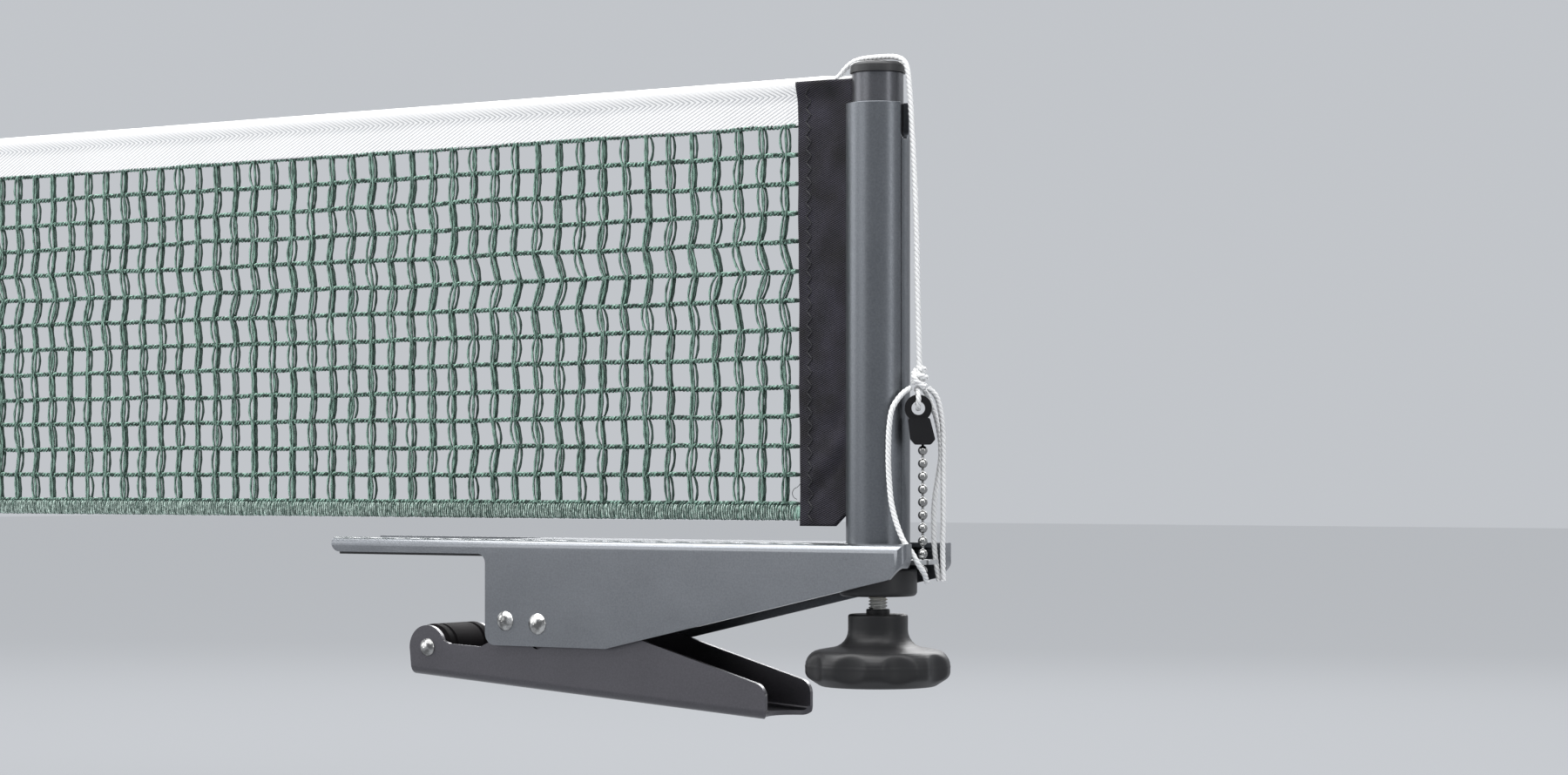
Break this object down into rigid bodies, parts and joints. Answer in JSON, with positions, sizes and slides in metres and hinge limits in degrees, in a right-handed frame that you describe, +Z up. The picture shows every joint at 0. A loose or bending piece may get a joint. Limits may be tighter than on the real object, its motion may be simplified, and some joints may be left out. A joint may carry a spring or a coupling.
{
  "type": "table tennis net clamp",
  "caption": "Spring-loaded table tennis net clamp with a squeeze lever, a height-adjusting post and knob, and a net with side bands, top tape, cord and tensioning chain.",
  "frame": {"origin": "on the table's playing surface, at the edge of the table, midway between the bracket's two cheeks", "axes": "+X away from the table towards the post, +Y along the table's side, +Z up"},
  "size_m": [0.4469, 0.0454, 0.2078],
  "materials": {
    "bracket_paint": "satin grey enamel",
    "pad_rubber": "matt black rubber",
    "plate_steel": "zinc-plated sheet",
    "rivet_steel": "bright nickel plate",
    "spring_steel": "drawn spring wire",
    "lever_paint": "satin dark grey enamel",
    "core_plastic": "natural nylon",
    "roller_rubber": "black rubber",
    "post_paint": "satin silver-grey enamel",
    "riser_paint": "satin silver-grey enamel",
    "plug_plastic": "moulded black plastic",
    "cap_plastic": "moulded black plastic",
    "foot_plastic": "moulded black plastic",
    "insert_brass": "turned brass",
    "screw_steel": "zinc-plated steel",
    "knob_plastic": "moulded black plastic with a soft sheen",
    "band_cloth": "near-black twill",
    "rod_plastic": "white plastic rod",
    "net_cord": "green knotted netting",
    "tape_cloth": "white twill tape",
    "white_cord": "twisted white cord",
    "connector_plastic": "moulded black plastic",
    "chain_steel": "nickel-plated balls"
  },
  "bodies": {
    "clamp": {"bracket": "bracket_paint", "arm_pads": "pad_rubber", "post_plate": "plate_steel", "pivot_rivet": "rivet_steel", "stop_rivet": "rivet_steel", "pivot_sleeve": "spring_steel", "torsion_spring": "spring_steel", "outer_post": "post_paint", "foot_block": "foot_plastic", "thread_insert": "insert_brass", "cord_knot": "white_cord", "cord_tail_left": "white_cord", "cord_tail_right": "white_cord", "cord_tail_back": "white_cord", "chain_connector": "connector_plastic", "ball_chain": "chain_steel"},
    "lever": {"squeeze_lever": "lever_paint", "jaw_rivet": "rivet_steel"},
    "roller": {"roller_core": "core_plastic", "jaw_roller": "roller_rubber"},
    "riser": {"riser_tube": "riser_paint", "riser_plug": "plug_plastic", "post_cap": "cap_plastic", "side_band": "band_cloth", "band_rod": "rod_plastic", "net_mesh": "net_cord", "top_tape": "tape_cloth", "bottom_hem": "net_cord", "far_band": "band_cloth", "far_band_rod": "rod_plastic", "tape_cord": "white_cord", "cord_over_post": "white_cord"},
    "knob": {"height_knob": "knob_plastic", "height_screw": "screw_steel", "retaining_ring": "spring_steel"}
  },
  "joints": [
    {"name": "lever_squeeze", "type": "hinge", "parent": "clamp", "child": "lever", "pos_m": [0.0085, 0, -0.0212], "axis": [0, -1, 0], "range_deg": [0, 24], "stiffness_Nm_per_rad": 3, "springref_deg": -20.05, "deforming": ["torsion_spring"]},
    {"name": "roller_spin", "type": "hinge", "parent": "lever", "child": "roller", "pos_m": [-0.0259, 0, -0.0309], "axis": [0, -1, 0], "continuous": true},
    {"name": "height_slide", "type": "slide", "parent": "clamp", "child": "riser", "axis": [0, 0, 1], "range_m": [-0.004, 0.0038], "deforming": ["cord_over_post"]},
    {"name": "knob_spin", "type": "hinge", "parent": "riser", "child": "knob", "pos_m": [0.1425, 0, -0.027], "axis": [0, 0, 1], "range_deg": [-1445, 1375]}
  ],
  "couplings": [
    {"joint": "knob_spin", "follows": "height_slide", "rad_per_m": 6283.2}
  ]
}
